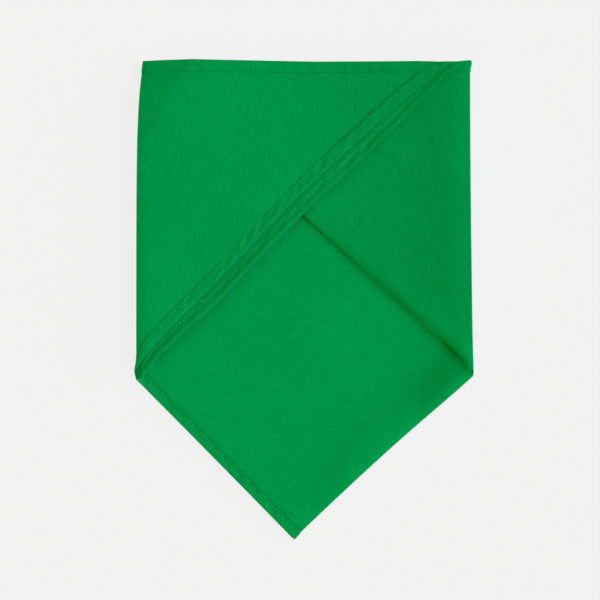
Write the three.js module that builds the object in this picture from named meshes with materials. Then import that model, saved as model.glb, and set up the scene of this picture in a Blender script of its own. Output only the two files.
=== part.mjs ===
// Triangular neckerchief of thin cloth, folded flat as it lies on a table.
// The triangle is folded in half from its right-angled corner to the middle of its long side.
// The corner end is then turned over to the left, and the pointed ends over it to the right.
// Millimetres. X to the right, Y away from the tip, Z up through the layers.
import * as THREE from 'three';

// Sizes of the cloth
const legLength = 700; // each of the two short sides, along the threads
const hemWidth = 8; // turned hem on all three sides
const clothWall = 1.0; // wall that stands for the cloth
const hemWall = 1.2; // the hem is folded double, so it is thicker
const layerGap = 0.3; // air between two hems that lie on each other
const seamGap = 0.3; // air between the cloth and its hem

// Sizes of the folded packet, measured from the line through its lower tip
const tipDepth = 344.2; // top edge to lower tip
const frontReach = 345; // tip line to the pointed end of the front layer, before the last fold
const leftEdge = 113.2; // tip line to the left fold
const rightEdge = 126.9; // tip line to the right fold, at the top
const foldBow = 7.8; // sag of the centre fold between the corner and the tip
const hemBow = 2.7; // how far the long side is drawn in by its hem
const backSlip = 8; // how far the uppermost layer has slipped back over the one below it
const slipHold = 0.375; // share of the left flap's edge over which the slip stays whole
const cornerPull = 5.2; // how far the top left corner is pulled in
const cornerPullRun = 30; // length over which that pull dies out
const flareWidth = 2.9; // how much further right the right fold stands at its lower end
const edgeRun = 40; // how far the pull and the flare reach into the packet
const drapeRun = 60; // length over which the left flap sinks beside the right flap

// Fineness of the mesh
const bendSteps = 6;
const columnStep = 13;
const layerRows = 10;
const hemRows = 2;

// Levels of the six layers, from the one on the table upwards
const pitch = hemWall + layerGap;
const level = (count) => hemWall / 2 + count * pitch;
const BACK = 0;
const FRONT = 1;
const middleLevel = [0, 1];
const rightLevel = [3, 2];
const leftLevel = [5, 4];

// The two upright folds: half rounds about an axis, the back layer outside the front one
const bendOf = (upper) => [BACK, FRONT].map((side) => ((upper[side] - middleLevel[side]) * pitch) / 2);
const rightBend = bendOf(rightLevel);
const leftBend = bendOf(leftLevel);
const bendHeight = level(middleLevel[BACK]);
const rightAxis = { x: rightEdge - rightBend[BACK] - hemWall / 2, z: bendHeight + rightBend[BACK] };
const leftAxis = { x: -leftEdge + leftBend[BACK] + hemWall / 2, z: bendHeight + leftBend[BACK] };
const rollRadius = pitch / 2; // centre fold, where the back layer turns into the front one
const rollOut = rollRadius + clothWall / 2;
const rollBend = (rightBend[BACK] + rightBend[FRONT]) / 2; // midway between both layers, right fold

// Where the right-angled corner and both pointed ends come to lie
const cornerX = 2 * rightAxis.x + Math.PI * rightBend[FRONT] - (legLength - frontReach);
const cornerReach = 2 * rightAxis.x + Math.PI * rollBend - cornerX;
const backCorner = 2 * rightAxis.x + Math.PI * rightBend[BACK] - cornerX;
const reach = [legLength - backCorner, frontReach];

// Dents and swells of the packet: a row for each.
// across and down place it as shares of the folded width and depth, turn is its direction in degrees,
// long and wide are shares of the folded width, height is a share of the layer pitch,
// and base is the lowest layer that it lifts.
const swells = [
  { at: 'centre fold', across: 0.72, down: 0.8, turn: 43, long: 0.3, wide: 0.04, height: 0.9, base: 1 },
  { at: 'lower square', across: 0.4, down: 0.74, turn: 20, long: 0.2, wide: 0.14, height: 0.5, base: 1 },
  { at: 'right flap', across: 0.74, down: 0.38, turn: 88, long: 0.26, wide: 0.07, height: 0.6, base: 3 },
  { at: 'right fold', across: 0.975, down: 0.36, turn: 90, long: 0.34, wide: 0.03, height: 0.5, base: 3 },
  { at: 'flap edge', across: 0.82, down: 0.53, turn: -43, long: 0.2, wide: 0.05, height: 0.5, base: 2 },
  { at: 'hidden corner', across: 0.12, down: 0.07, turn: 60, long: 0.12, wide: 0.04, height: 0.6, base: 4 },
  { at: 'left fold', across: 0.05, down: 0.36, turn: 90, long: 0.22, wide: 0.05, height: 0.4, base: 4 },
  { at: 'left flap', across: 0.32, down: 0.2, turn: -40, long: 0.28, wide: 0.1, height: 0.4, base: 4 },
];

const width = leftEdge + rightEdge;
const degree = Math.PI / 180;
const halfwayShare = 1 / 4; // greatest value of s (1 - s), halfway
const twoThirdsShare = 4 / 27; // greatest value of s s (1 - s), at two thirds

function smooth(value) {
  const t = Math.min(Math.max(value, 0), 1);
  return t * t * (3 - 2 * t);
}

// Long side in the opened layer: height above the table edge line at a distance from the tip line
function longSide(side, flat) {
  const share = -flat / reach[side];
  const line = -tipDepth * (1 - share) + (hemBow * share * (1 - share)) / halfwayShare;
  if (side === FRONT || flat > leftAxis.x) {
    return line;
  }
  const turned = smooth((leftAxis.x - flat) / (Math.PI * leftBend[BACK]));
  const towardEnd = (flat - leftAxis.x) / (-reach[BACK] - leftAxis.x);
  return line + backSlip * turned * (1 - smooth((towardEnd - slipHold) / (1 - slipHold)));
}

// Centre fold: the line on which the back layer turns into the front one
function centreFold(flat) {
  const share = flat / cornerReach;
  const bow = (foldBow * share * share * (1 - share)) / twoThirdsShare;
  return -tipDepth * (1 - share) - bow + rollOut;
}

const hemRise = (side) => hemWidth * Math.hypot(1, tipDepth / reach[side]);
const seamRise = (side) => seamGap * Math.hypot(1, tipDepth / reach[side]);
const hemInner = (side, flat) => longSide(side, flat) + hemRise(side);

// Height added by the swells to a layer, and the sinking of the left flap beside the right one
function lift(layer, x, y) {
  let sum = 0;
  for (const swell of swells) {
    if (layer < swell.base) {
      continue;
    }
    const dx = x + leftEdge - swell.across * width;
    const dy = y + swell.down * tipDepth;
    const c = Math.cos(swell.turn * degree);
    const s = Math.sin(swell.turn * degree);
    const along = (dx * c + dy * s) / (swell.long * width);
    const aside = (dy * c - dx * s) / (swell.wide * width);
    sum += swell.height * pitch * Math.exp(-along * along - aside * aside);
  }
  if (layer >= leftLevel[FRONT]) {
    const edge = centreFold(2 * rightAxis.x + Math.PI * rollBend - x) - rollOut;
    const beside = ((edge - y) * Math.SQRT1_2) / drapeRun;
    sum -= 2 * pitch * smooth(beside);
  }
  return sum;
}

// Sideways shift of the packet near its left and right edges
function shift(x, y) {
  const depth = y / (centreFold(rightAxis.x) - rollOut);
  const fromLeft = Math.max(x - leftAxis.x, 0) / edgeRun;
  const fromRight = Math.max(rightAxis.x - x, 0) / edgeRun;
  const pull = cornerPull * Math.exp(Math.min(y, 0) / cornerPullRun) * Math.exp(-fromLeft * fromLeft);
  const flare = flareWidth * Math.min(depth * depth, 1) * Math.exp(-fromRight * fromRight);
  return pull + flare;
}

// Columns run from the pointed ends over the left fold, the middle and the right fold to the corner.
// Each one is upright in the packet and belongs to both layers.
function column(part, at) {
  return { part, at };
}

function flatAt(side, { part, at }) {
  if (part === 'leftFlap') {
    return 2 * leftAxis.x - Math.PI * leftBend[side] - at;
  }
  if (part === 'leftBend') {
    return leftAxis.x - leftBend[side] * at;
  }
  if (part === 'rightBend') {
    return rightAxis.x + rollBend * at;
  }
  if (part === 'rightFlap') {
    return 2 * rightAxis.x + Math.PI * rollBend - at;
  }
  return at;
}

// Place, direction across the wall and lift of one layer at a column
function frameAt(side, { part, at }, y) {
  if (part === 'leftBend' || part === 'rightBend') {
    const right = part === 'rightBend';
    const axis = right ? rightAxis : leftAxis;
    const radius = right ? rightBend[side] : leftBend[side];
    const upper = right ? rightLevel[side] : leftLevel[side];
    const normal = new THREE.Vector3(right ? -Math.sin(at) : Math.sin(at), 0, Math.cos(at));
    const place = new THREE.Vector3(axis.x - radius * normal.x, y, axis.z - radius * normal.z);
    const turned = (1 - Math.cos(at)) / 2;
    const low = lift(middleLevel[side], place.x, y);
    place.z += low + (lift(upper, place.x, y) - low) * turned;
    return { place, normal };
  }
  const levels = { leftFlap: leftLevel, middle: middleLevel, rightFlap: rightLevel }[part];
  const layer = levels[side];
  const normal = new THREE.Vector3(0, 0, part === 'middle' ? 1 : -1);
  return { place: new THREE.Vector3(at, y, level(layer) + lift(layer, at, y)), normal };
}

// Evenly spaced values with both ends included
function steps(from, to, size) {
  const count = Math.max(Math.round(Math.abs(to - from) / size), 1);
  return Array.from({ length: count + 1 }, (unused, k) => from + ((to - from) * k) / count);
}

function columnsOf(leftEnd, rightEnd, extra, size) {
  const turn = Array.from({ length: bendSteps - 1 }, (unused, k) => ((k + 1) * Math.PI) / bendSteps);
  const list = [];
  steps(leftEnd, leftAxis.x, size).forEach((x) => list.push(column('leftFlap', x)));
  [...turn].reverse().forEach((angle) => list.push(column('leftBend', angle)));
  const stops = [leftAxis.x, ...extra, rightEnd.part === 'middle' ? rightEnd.at : rightAxis.x];
  for (let k = 1; k < stops.length; k += 1) {
    steps(stops[k - 1], stops[k], size).forEach((x, n) => {
      if (k === 1 || n > 0) {
        list.push(column('middle', x));
      }
    });
  }
  if (rightEnd.part === 'middle') {
    return list;
  }
  turn.forEach((angle) => list.push(column('rightBend', angle)));
  steps(rightAxis.x, rightEnd.at, size).forEach((x) => list.push(column('rightFlap', x)));
  return list;
}

// Each layer ends at a place of its own, so its columns on the left flap are spread to that end
function spread(endOf, side, col, sharedEnd) {
  if (col.part !== 'leftFlap') {
    return col;
  }
  const share = (col.at - leftAxis.x) / (sharedEnd - leftAxis.x);
  return column('leftFlap', leftAxis.x + share * (endOf(side) - leftAxis.x));
}

// Sheet of cloth over the columns, with a wall, closed along all its edges.
// endOf gives where a layer ends on the left flap, limits the upper and lower end of a layer at a
// distance from the tip line, and rolledFrom where both layers are one piece round the centre fold.
function sheet({ columns, sides, endOf, limits, rolledFrom, rows, wall }) {
  const rings = [];
  for (const col of columns) {
    const ring = [];
    const layers = sides.map((side) => {
      const own = spread(endOf, side, col, columns[0].at);
      const [upper, lower] = limits(side, flatAt(side, own));
      return Array.from({ length: rows + 1 }, (unused, k) => {
        const y = upper + ((lower - upper) * k) / rows;
        const spot = frameAt(side, own, y);
        if (side === sides[1]) {
          spot.normal.negate();
        }
        return spot;
      });
    });
    ring.push(...layers[0]);
    if (sides.length > 1) {
      const start = layers[0][rows];
      const end = layers[1][rows];
      const centre = start.place.clone().add(end.place).multiplyScalar(0.5);
      const half = end.place.clone().sub(start.place).multiplyScalar(0.5);
      for (let k = 1; k < bendSteps; k += 1) {
        const angle = (k * Math.PI) / bendSteps;
        const place = centre.clone().addScaledVector(half, -Math.cos(angle));
        place.y -= rollRadius * Math.sin(angle);
        const normal = start.normal.clone().multiplyScalar(Math.cos(angle));
        normal.y += Math.sin(angle);
        ring.push({ place, normal });
      }
      ring.push(...layers[1].reverse());
    }
    rings.push(ring);
  }
  const count = rings[0].length;
  const place = [];
  for (const face of [1, -1]) {
    for (const ring of rings) {
      for (const { place: centre, normal } of ring) {
        const point = centre.clone().addScaledVector(normal, (face * wall) / 2);
        place.push(point.x + shift(point.x, point.y), point.y, point.z);
      }
    }
  }
  const isOn = (c, r) => {
    if (c < 0 || r < 0 || c >= rings.length - 1 || r >= count - 1) {
      return false;
    }
    const inRoll = r >= rows && r < count - 1 - rows;
    return !inRoll || flatAt(BACK, columns[c]) >= rolledFrom;
  };
  const index = [];
  const under = rings.length * count;
  const at = (c, r) => c * count + r;
  const quad = (a, b, c, d) => index.push(a, b, c, a, c, d);
  for (let c = 0; c < rings.length - 1; c += 1) {
    for (let r = 0; r < count - 1; r += 1) {
      if (!isOn(c, r)) {
        continue;
      }
      const [p, q, s, t] = [at(c, r), at(c + 1, r), at(c + 1, r + 1), at(c, r + 1)];
      quad(p, t, s, q);
      quad(under + p, under + q, under + s, under + t);
      if (!isOn(c - 1, r)) {
        quad(p, under + p, under + t, t);
      }
      if (!isOn(c + 1, r)) {
        quad(q, s, under + s, under + q);
      }
      if (!isOn(c, r - 1)) {
        quad(p, q, under + q, under + p);
      }
      if (!isOn(c, r + 1)) {
        quad(t, under + t, under + s, s);
      }
    }
  }
  const used = [...new Set(index)].sort((a, b) => a - b);
  const renumber = new Map(used.map((old, k) => [old, k]));
  const geometry = new THREE.BufferGeometry();
  const points = used.flatMap((old) => place.slice(3 * old, 3 * old + 3));
  geometry.setAttribute('position', new THREE.Float32BufferAttribute(points, 3));
  geometry.setIndex(index.map((old) => renumber.get(old)));
  geometry.computeVertexNormals();
  return geometry;
}

// Where the hem of the long side meets the centre fold, just above the tip
const tipMeet = (rise) => (rise - rollOut) / (tipDepth / cornerReach + tipDepth / frontReach);
const clothCorner = tipMeet(hemRise(FRONT) + seamRise(FRONT));
const hemCorner = tipMeet(hemRise(FRONT)) - seamGap;

// Least height that a piece keeps where two of its edges run to a point
const pointHeight = 1;

// Place between two columns at which a rising line reaches a height
function meet(from, to, heightAt, height) {
  let [near, far] = [from, to];
  while (Math.abs(far - near) > 1e-9 * width) {
    const mid = (near + far) / 2;
    if (heightAt(mid) < height) {
      near = mid;
    } else {
      far = mid;
    }
  }
  return near;
}

function pointedEnd(side, height) {
  const heightAt = (x) => longSide(side, flatAt(side, column('leftFlap', x)));
  return meet(leftAxis.x, 2 * rightEdge, heightAt, height);
}

function cornerEnd(height) {
  const heightAt = (x) => centreFold(flatAt(BACK, column('rightFlap', x)));
  return column('rightFlap', meet(rightAxis.x, cornerX - leftEdge, heightAt, height));
}

const group = new THREE.Group();

function add(name, color, parts) {
  const columns = columnsOf(parts.endOf(parts.sides[0]), parts.rightEnd, parts.stops, columnStep);
  const geometry = sheet({ ...parts, columns });
  const material = new THREE.MeshStandardMaterial({ color, roughness: 0.92, metalness: 0 });
  const mesh = new THREE.Mesh(geometry, material);
  mesh.name = name;
  group.add(mesh);
}

// Cloth inside its hems, one piece through all six layers
const clothTop = -hemWidth - seamGap;
add('cloth', 0x019145, {
  sides: [BACK, FRONT],
  rightEnd: cornerEnd(clothTop - pointHeight),
  stops: [clothCorner],
  endOf: (side) => pointedEnd(side, clothTop - pointHeight - hemRise(side) - seamRise(side)),
  limits: (side, flat) => {
    const beside = hemInner(side, flat) + seamRise(side);
    return [clothTop, flat < clothCorner ? beside : centreFold(flat)];
  },
  rolledFrom: clothCorner,
  rows: layerRows,
  wall: clothWall,
});

// Hem of the long side, on both layers and round the centre fold at the tip
add('hem_long', 0x01873f, {
  sides: [BACK, FRONT],
  rightEnd: column('middle', hemCorner),
  stops: [0],
  endOf: (side) => pointedEnd(side, -pointHeight),
  limits: (side, flat) => {
    const lower = flat < 0 ? longSide(side, flat) : centreFold(flat);
    return [Math.min(0, hemInner(side, flat)), lower];
  },
  rolledFrom: 0,
  rows: hemRows,
  wall: hemWall,
});

// Hems of the two legs, which lie along the top edge
for (const [side, name] of [[BACK, 'hem_leg_back'], [FRONT, 'hem_leg_front']]) {
  add(name, 0x01873f, {
    sides: [side],
    rightEnd: cornerEnd(-pointHeight),
    stops: [0],
    endOf: () => pointedEnd(side, -pointHeight - hemRise(side) - seamRise(side)),
    limits: (own, flat) => {
      const line = flat < 0 ? hemInner(own, flat) + seamRise(own) : centreFold(flat);
      return [0, Math.max(-hemWidth, line)];
    },
    rolledFrom: 0,
    rows: hemRows,
    wall: hemWall,
  });
}

// The packet stands on its own underside, with its origin below the middle of its outline
const outline = new THREE.Box3().setFromObject(group, true);
const middle = outline.getCenter(new THREE.Vector3());
group.position.set(-middle.x, -middle.y, -outline.min.z);

export default group;
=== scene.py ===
import math
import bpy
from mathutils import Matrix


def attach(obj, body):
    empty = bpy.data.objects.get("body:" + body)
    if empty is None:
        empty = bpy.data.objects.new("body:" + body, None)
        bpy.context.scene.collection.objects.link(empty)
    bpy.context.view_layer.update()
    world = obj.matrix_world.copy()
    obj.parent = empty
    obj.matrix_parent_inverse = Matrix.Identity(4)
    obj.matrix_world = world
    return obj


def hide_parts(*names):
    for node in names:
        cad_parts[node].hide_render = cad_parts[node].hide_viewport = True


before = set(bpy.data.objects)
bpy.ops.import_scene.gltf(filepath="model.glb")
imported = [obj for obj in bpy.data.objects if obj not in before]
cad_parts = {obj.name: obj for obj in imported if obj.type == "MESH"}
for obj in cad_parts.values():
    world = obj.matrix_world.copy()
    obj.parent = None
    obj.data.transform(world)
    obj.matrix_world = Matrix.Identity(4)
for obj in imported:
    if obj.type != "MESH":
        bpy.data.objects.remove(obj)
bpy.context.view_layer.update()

from types import SimpleNamespace

import bpy
import numpy as np
from bpy.props import FloatProperty, FloatVectorProperty, PointerProperty
from bpy.types import Operator, Panel, PropertyGroup

bl_info = {
    "name": "Folded Neckerchief",
    "version": (1, 0, 0),
    "blender": (4, 5, 0),
    "location": "View3D > Sidebar > Neckerchief",
    "description": "A hemmed triangular neckerchief, folded flat, on a pale studio floor",
    "category": "Add Mesh",
}

# The whole cloth is worked out in millimetres in the folded packet's own plan: x to the right of the
# line through the lower tip, y up from the straight top edge, z up from the table.
MM = 0.001
TIP_TO_ORIGIN = (-8.209, 172.15)  # where the plan's zero point lies in the part

# The six layers count up from the table. The back half of the cloth takes levels 0, 3 and 5,
# the front half takes 1, 2 and 4.
BACK, FRONT = 0, 1
MIDDLE_LEVEL = (0, 1)
RIGHT_LEVEL = (3, 2)
LEFT_LEVEL = (5, 4)
LEFT_FLAP, LEFT_BEND, MIDDLE, RIGHT_BEND, RIGHT_FLAP = range(5)


def linear_colour(hex_code):
    """sRGB hex to the linear red, green and blue that shaders work in."""
    channels = [int(hex_code[k:k + 2], 16) / 255 for k in (1, 3, 5)]
    return tuple(c / 12.92 if c <= 0.04045 else ((c + 0.055) / 1.055) ** 2.4 for c in channels)


def length(name, description, default, most=1.0):
    return FloatProperty(name=name, description=description, default=default, min=0.0, max=most,
                         unit="LENGTH", subtype="DISTANCE", precision=5)


def colour(name, description, hex_code):
    return FloatVectorProperty(name=name, description=description, size=3, min=0.0, max=1.0,
                               default=linear_colour(hex_code), subtype="COLOR")


class NeckerchiefSizes(PropertyGroup):
    leg: length("Leg", "Each of the two short sides of the opened cloth", 0.700)
    hem: length("Hem", "Width of the sewn hem", 0.0081)
    cloth: length("Cloth", "Thickness of the woven cloth", 0.00022)
    turn: length("Hem turn", "Thickness that the turned-in cloth adds to the hem", 0.00042)
    pitch: length("Layer pitch", "Height from one folded layer to the next", 0.0015)
    first: length("First layer", "Height of the lowest layer above the table", 0.0009)
    tip_depth: length("Tip depth", "From the top edge to the lower tip", 0.3442)
    front_reach: length("Front reach", "From the tip line to the pointed end of the front half", 0.345)
    left_edge: length("Left edge", "From the tip line to the left fold", 0.1132)
    right_edge: length("Right edge", "From the tip line to the right fold", 0.1269)
    left_round: length("Left fold rounding", "Width over which the left fold rolls over", 0.0002)
    right_round: length("Right fold rounding", "Width over which the right fold rolls over", 0.0007)
    centre_round: length("Centre fold rounding", "Width over which the centre fold rolls over", 0.0012)
    stitch: length("Stitch", "Length of one stitch", 0.0025)
    thread: length("Thread", "Thickness of the sewing thread", 0.00032)
    stitch_inset: length("Stitch inset", "From the hem's outer edge to its row of stitches", 0.0063)
    thread_pitch: length("Thread pitch", "From one thread of the weave to the next", 0.00038)


class NeckerchiefColours(PropertyGroup):
    cloth: colour("Cloth", "Green of the dyed cloth", "#00954A")
    thread: colour("Thread", "Green of the sewing thread", "#018A42")
    floor: colour("Floor", "Pale studio floor", "#F2F2F2")


# Shape of the folded packet. Each table is a short list that a maker would read off with a ruler. Places
# and distances are in mm, slopes in degrees and positive where the cloth climbs with growing place. A fade
# has its start and its width, and a negative width fades in towards smaller places.

# Flaps towards the right fold, which stands highest, by x
RIGHT_CLIMB = ((-60, 0.0), (-29, 0.3), (10, 1.25), (49, 2.9), (75, 3.4), (88, 5.3), (101, 6.8), (110, 6.6),
               (116.6, 4.2), (121.7, 2.6), (127, 1.6))
RIGHT_CLIMB_LOW = 0.7  # share of it in the flap's lower layer
RIGHT_CLIMB_LOST, RIGHT_CLIMB_END = 0.9, (-160, -45)  # share lost towards the tip, and its fade by y
# Left flap from the left fold inwards
LEFT_CLIMB = ((0, 4.8), (3.4, 4.4), (5, 2.8), (7.2, 1.4), (10, 0.5), (14, 0.0))
LEFT_PRESSED, LEFT_PRESSED_AT, LEFT_PRESSED_HALF = 0.85, -45, 40  # share pressed flat, its y and half length
# The top left corner bends down beyond a slanting line: a point on it, the way it bends, slope and rounding
CORNER_START, CORNER_TOWARDS, CORNER_SLOPE, CORNER_ROUND = (-77.8, -6.5), (-0.85, 0.52), 4.6, 2.5
# Cloth from the centre fold inwards, how strongly that ridge shows, and how wide it is, by x
CENTRE_RIDGE = ((0, 3.5), (4, 2.5), (9, 0.0), (13, -2.5), (18, -4.9), (24, -5.3), (30, -4.0),
                (38, -1.5), (48, 0.0))
CENTRE_STRENGTH = ((0, 0.0), (13, 0.12), (39, 0.85), (64, 1.0), (90, 1.15), (102, 1.6), (109, 1.9),
                   (120, 2.0))
CENTRE_REACH = ((60, 1.0), (100, 0.78), (127, 0.66))
# Near the lower right corner the flap rests on the ridge only along its open edge: the share that is lost,
# and its fades by the distance from that edge and by x
RIDGE_LOST, RIDGE_FLAP, RIDGE_CORNER = 0.45, (0, 18), (85, 25)
# How far the lower square falls right beside the centre fold, by x, and how wide that fall is
CENTRE_FALL = ((0, 0.0), (14, 0.7), (32, 0.95), (44, 0.85), (66, 0.4), (100, 0.4), (110, 0.5), (124, 0.0))
CENTRE_FALL_WIDE = 6
# Cloth at the foot of an edge that lies on it, from that edge outwards
EDGE_FOOT = ((-3, 0.0), (-0.5, 8.4), (1.2, 7.6), (2.6, 4.8), (4.2, 2.4), (6.5, 0.7), (9, 0.0))
# How strongly each edge presses there: everywhere, and changes that fade in by x
FRONT_FOOT = (1.0, ((-0.75, 78, 22), (0.6, -35, -50), (-1.4, -99, -8)))
BACK_FOOT = (0.85, ((-0.75, 78, 22), (-0.35, 45, 25)))
# The front half's band between the two open edges, from the upper edge outwards, and its fade by x
BAND_FALL = ((-1, 0.0), (0, 0.2), (1.5, 1.4), (3, 2.8), (4.5, 4.8), (6, 5.8), (7.5, 4.2), (9, 1.0), (10, 0.0))
BAND_START = (12, -30)
# At the lower left corner the end of the front hem turns down over the fold: x, fade by y and slope
HEM_END_X, HEM_END_FADE, HEM_END_SLOPE = -109.3, (-209, -10), 9
# Open edge of the right flap, inwards: distance and how far it has sunk
FLAP_ROUND = ((0, -0.97), (0.5, -0.79), (1.1, -0.6), (1.6, -0.48), (2.7, -0.3), (3.8, -0.17), (4.9, -0.08),
              (6, -0.03), (7.5, 0.0))
# Lower square beside that edge, outwards: distance and how far it has risen
FLAP_SWELL = ((0, 1.5), (0.9, 1.06), (1.6, 0.78), (2.7, 0.47), (3.7, 0.28), (4.8, 0.155), (5.9, 0.08),
              (7.2, 0.03), (8.3, 0.01), (10, 0.0))
FLAP_SWELL_START, FLAP_SWELL_UNDER = (3, 10), 3  # its fade by x, and how far it goes on under the flap
# How much higher the lower square lies beside that edge than far from it, by x, and how far is far
FLAP_RAISE = ((-40, 0.8), (10, 1.25), (25, 1.15), (70, 0.42), (88, 0.5), (105, 0.95), (122, 1.2))
FLAP_RAISE_REACH = 110
FLAP_LOWER_RAISE = 0.3  # how much higher the flap's lower layer lies
# Share of the swell and of the edge's rounding where they begin, by x
FLAP_SHARE = ((5, 0.5), (20, 0.6), (60, 1.0))
# How far that edge lies above the straight line to the lower right corner, by x
FLAP_WANDER = ((0, 1.0), (16, 1.5), (31, 2.5), (50, 3.4), (68, 4.4), (86.5, 4.6), (105, 4.0),
               (120, 2.5), (127, 1.5))
LEFT_FLAP_SINK = (0, 100)  # fade, by the distance from that edge, with which the left flap sinks a layer

# Outer edge of the hem on the left flap, where it lies in the packet: back half and front half
BACK_EDGE = ((-113, -222.5), (-111.2, -219.6), (-108.9, -213.6), (-101.5, -205.4), (-83.2, -185.8),
             (-64, -167.2), (-45.5, -148.2), (-27.2, -129.1), (-9.2, -110.0), (9.6, -91.3), (28.8, -73.2),
             (48.3, -55.4), (67.8, -37.9), (87.8, -20.6), (98.6, -10.9), (105.4, -5.9), (116.9, -0.7),
             (122, 0.9), (128, 3.0))
FRONT_EDGE = ((-114, -225), (-111.3, -228.3), (-109.4, -229.6), (-108, -227.0), (-105.6, -222.6),
              (-101.7, -217.4), (-94.8, -209.8), (-76, -192.2), (-56.7, -175.8), (-38.7, -156.4),
              (-20.7, -137.1), (-1.7, -118.8), (17.3, -99.5), (36.8, -82.0), (55.8, -64.3), (74.8, -46.0),
              (95.2, -25.2), (109.3, -9.8), (111.8, -7.7), (118.2, -4.0), (122.4, -1.0), (128, 2.4))
FLAP_EDGES = (BACK_EDGE, FRONT_EDGE)
# How far the lower square's left edge bows inwards, and how far its right edge bows outwards
HEM_BOW, CENTRE_BOW = 2.3, 7.8
# Share of the centre fold's rounding that is left where it is pressed, and share lost on the right flap
PRESSED_ROUND, FLAP_ROUND_LOST = 0.7, 0.93
# Wander of the top edge, by x, and how deep it goes
TOP_WAVE = ((-113, 0.2), (-98, 0.8), (-75, 1.3), (-46, 0.7), (-14, 0.0), (15, -0.6), (66, -0.6), (88, -0.5),
            (104, -1.1), (117, -1.1), (123, -0.3), (127, 0.1))
TOP_WAVE_DEEP = 12
# The top left corner and the lower right one lie further right, within a distance from the top and side
TOP_LEFT_BEND, TOP_LEFT_DEEP, LOWER_RIGHT_BEND, SIDE_DEEP = 5.2, 30, 2.9, 40
# The hem's end stands out at the lower left corner: how far, its y, half height and depth
HEM_END_OUT, HEM_END_Y, HEM_END_HALF, HEM_END_DEEP = 1.0, -223, 4.5, 3

# Hems. Distances across are from the outer edge.
# Seen width of the long hem at its twisted end beside the top edge, as a share of its full width, by x
HEM_NARROW = ((60, 1.0), (76, 1.0), (89, 0.9), (99, 0.7), (105, 0.54), (117, 0.4))
LOWER_NARROW = 0.07  # how much narrower it is along the lower square
LOWER_SUNK, LOWER_TILT = 0.6, 0.2  # how much lower it lies there, and its outer edge again
# How much lower its turned strip is at its inner edge on the upper left square, by x, and the fade across
HEM_STEP = ((-113, 0.18), (-20, 0.18), (15, 0.08), (45, 0.0))
HEM_STEP_FADE = (3.2, 2.8)
LONG_TAPER, LEG_TAPER, TAPER_FADE = 0.1, 0.12, (6.9, 1.2)  # how far the turned strip thins inwards
HEM_FULL, HEM_FULL_AT, HEM_FULL_WIDE = 0.04, 1.6, 1.1  # it is fullest near the outer fold
# The plain face bulges over the strip, and less where a crease bends it: height, fade, and that bend
HEM_BULGE, HEM_BULGE_FADE, HEM_BULGE_BEND = 0.4, (5.2, -3.0), 0.4
HEM_ROUND = 0.16  # rounding of the hem's outer edge
INNER_ROUND = 0.016  # rounding of the turned strip's edge
HEM_LAST = 0.01  # what is left of the strip at its very edge
HEM_ROWS = (8.0, 7.985, 7.94, 7.85, 7.6, 7.3, 6.9, 6.5, 6.2, 5.9, 5.4, 4.7, 4.0, 3.3, 2.7, 2.1, 1.6, 1.2, 0.8,
            0.45, 0.2, 0.12, 0.06, 0.02, 0.0)
HEM_WAVE_START = 3  # distance across over which a hem begins to wave
TIP_STAND = 0.8  # how far the thick end of the long hem stands out at the tip
LEG_STAND = 0.9  # how far the leg hems stand out where they run round the right fold
LEG_GAP = 0.08  # between the end of a leg hem and the long hem
PUCKER_TURN = 15  # degrees by which the creases stand steeper than the hem
PUCKER_FALL = (-1.0, 2.2)  # fade with which a crease falls

# Cloth beside its hems
TUCK = 1.5  # how far it runs on inside them
TUCK_DOWN = 0.5  # how far it goes down with the hem of the lower square
DRAWN, DRAWN_LOWER, DRAWN_WIDE = 0.09, 0.08, 1.4  # how much thinner it is drawn beside the long hem
DRAWN_LEG, DRAWN_LEG_WIDE = 0.05, 0.9  # and beside the leg hems

# Mesh: width of a column, steps round a side fold and round the centre fold, columns close to a fold, rows
CLOTH_COLUMN, LONG_COLUMN, LEG_COLUMN = 2.1, 0.7, 1.1
CLOTH_TURNS, LONG_TURNS, LEG_TURNS, CENTRE_TURNS = 16, 20, 16, 12
CLOSE_COLUMNS = (0.04, 0.3)
CLOTH_ROWS = {"near": (0, 1.0, 1.5, 1.8, 2.2, 2.7, 3.4, 4.4, 5.8, 7.8), "middle": 37,
              "beside": (-6, -2, -0.6, 0.0, 0.6, 1.3, 2.1, 3.1, 4.2, 5.5, 7.0, 9.0, 11.5, 15.0)}

# Each stitch is a closed tube: place along it, thickness and height above the cloth
STITCH_RINGS = ((0.0, 0.35, -0.12), (0.14, 0.85, 0.01), (0.5, 1.0, 0.06), (0.86, 0.85, 0.01),
                (1.0, 0.35, -0.12))
STITCH_SIDES = 6
STITCH_SHARE = 0.8  # seen length of a stitch
SEAM_END = 1.5  # from the pointed end of a hem to its first stitch
SEAM_STOP = -1.0  # the long hem's last stitch lies just before the tip line


def smooth(value):
    t = np.clip(value, 0.0, 1.0)
    return t * t * (3 - 2 * t)


def fade(value, start, width):
    """0 at the start and 1 a width further on, smooth between."""
    return smooth((value - start) / width)


def bell(distance, half):
    return np.exp(-(distance / half) ** 2)


def table_value(table, at):
    knots = np.array(table, float)
    return np.interp(at, knots[:, 0], knots[:, 1])


def climb(table, at):
    """Height that a table of slopes adds up to, at each distance."""
    knots = np.array(table, float)
    fine = np.linspace(knots[0, 0], knots[-1, 0], 400)
    slope = np.tan(np.radians(np.interp(fine, knots[:, 0], knots[:, 1])))
    height = np.concatenate(([0.0], np.cumsum((slope[1:] + slope[:-1]) / 2 * np.diff(fine))))
    return np.interp(at, fine, height)


def relief(table, at):
    """The same height, counted from the last place of the table."""
    return climb(table, at) - climb(table, table[-1][0])


def square_to_edge(line, y):
    """Distance above a slanting edge, from its y at the same x."""
    return (y - line) * math.cos(math.radians(44))


def past_left_fold(plan, flat):
    """0 on the left flap and 1 on the lower square, with a short step just inside the fold."""
    return fade(flat, plan.left_x, 6)


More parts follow.
